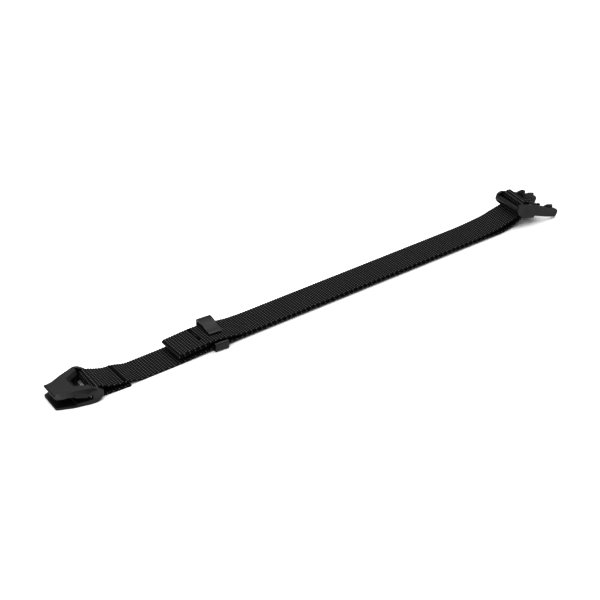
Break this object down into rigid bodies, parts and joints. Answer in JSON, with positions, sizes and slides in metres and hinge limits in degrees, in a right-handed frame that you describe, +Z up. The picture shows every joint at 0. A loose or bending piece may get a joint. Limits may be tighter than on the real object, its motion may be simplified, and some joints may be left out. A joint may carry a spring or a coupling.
{
  "type": "webbing strap with hook and buckle",
  "caption": "Flat adjustable webbing strap with an open spring-jaw hook at one end, a male side-release buckle with adjuster at the other, and a sliding keeper for the folded tail.",
  "frame": {"origin": "on the ground under the middle of the strap: the centre of the bounding box's bottom face", "axes": "+X along the strap from the hook to the buckle, +Y across the webbing towards the keeper's tall wall, +Z up from the surface that the strap lies on"},
  "size_m": [0.4832, 0.0372, 0.0226],
  "materials": {
    "moulded_plastic": "black acetal, fine satin mould texture",
    "webbing": "black woven polyester with crosswise ribs",
    "thread": "black bonded nylon sewing thread"
  },
  "bodies": {
    "strap": {"webbing_main_ply": "webbing", "webbing_buckle_turn": "webbing", "webbing_tail": "webbing", "hem_stitching": "thread"},
    "hook_end": {"webbing_hook_loop": "webbing", "loop_bar_tack": "thread"},
    "hook": {"hook_base": "moulded_plastic"},
    "jaw": {"hook_spring_jaw": "moulded_plastic"},
    "keeper": {"keeper": "moulded_plastic"},
    "buckle": {"buckle_frame": "moulded_plastic"},
    "arm_near": {"buckle_arm_near": "moulded_plastic"},
    "arm_far": {"buckle_arm_far": "moulded_plastic"}
  },
  "joints": [
    {"name": "webbing_fold", "type": "hinge", "parent": "strap", "child": "hook_end", "pos_m": [-0.16575, 0.00097, 0.0008], "axis": [0, 1, 0], "range_deg": [-100, 100]},
    {"name": "hook_swing", "type": "hinge", "parent": "hook_end", "child": "hook", "pos_m": [-0.20825, 0.00137, 0.0064], "axis": [0.0611, 0.9981, 0], "range_deg": [-60, 60]},
    {"name": "hook_jaw_flex", "type": "hinge", "parent": "hook", "child": "jaw", "pos_m": [-0.21464, 0.00176, 0.01295], "axis": [0.0611, 0.9981, 0], "range_deg": [0, 6], "stiffness_Nm_per_rad": 1.2},
    {"name": "keeper_slide", "type": "slide", "parent": "strap", "child": "keeper", "axis": [1, 0, 0], "range_m": [0, 0.24]},
    {"name": "buckle_tilt", "type": "hinge", "parent": "strap", "child": "buckle", "pos_m": [0.20775, 0.00107, 0.01805], "axis": [0.1019, 0.9939, -0.0421], "range_deg": [-15, 0]},
    {"name": "arm_near_flex", "type": "hinge", "parent": "buckle", "child": "arm_near", "pos_m": [0.21659, -0.01346, 0.01234], "axis": [0.2618, 0.0141, 0.965], "range_deg": [0, 6], "stiffness_Nm_per_rad": 1.2},
    {"name": "arm_far_flex", "type": "hinge", "parent": "buckle", "child": "arm_far", "pos_m": [0.2193, 0.01298, 0.01122], "axis": [0.2618, 0.0141, 0.965], "range_deg": [-6, 0], "stiffness_Nm_per_rad": 1.2}
  ]
}
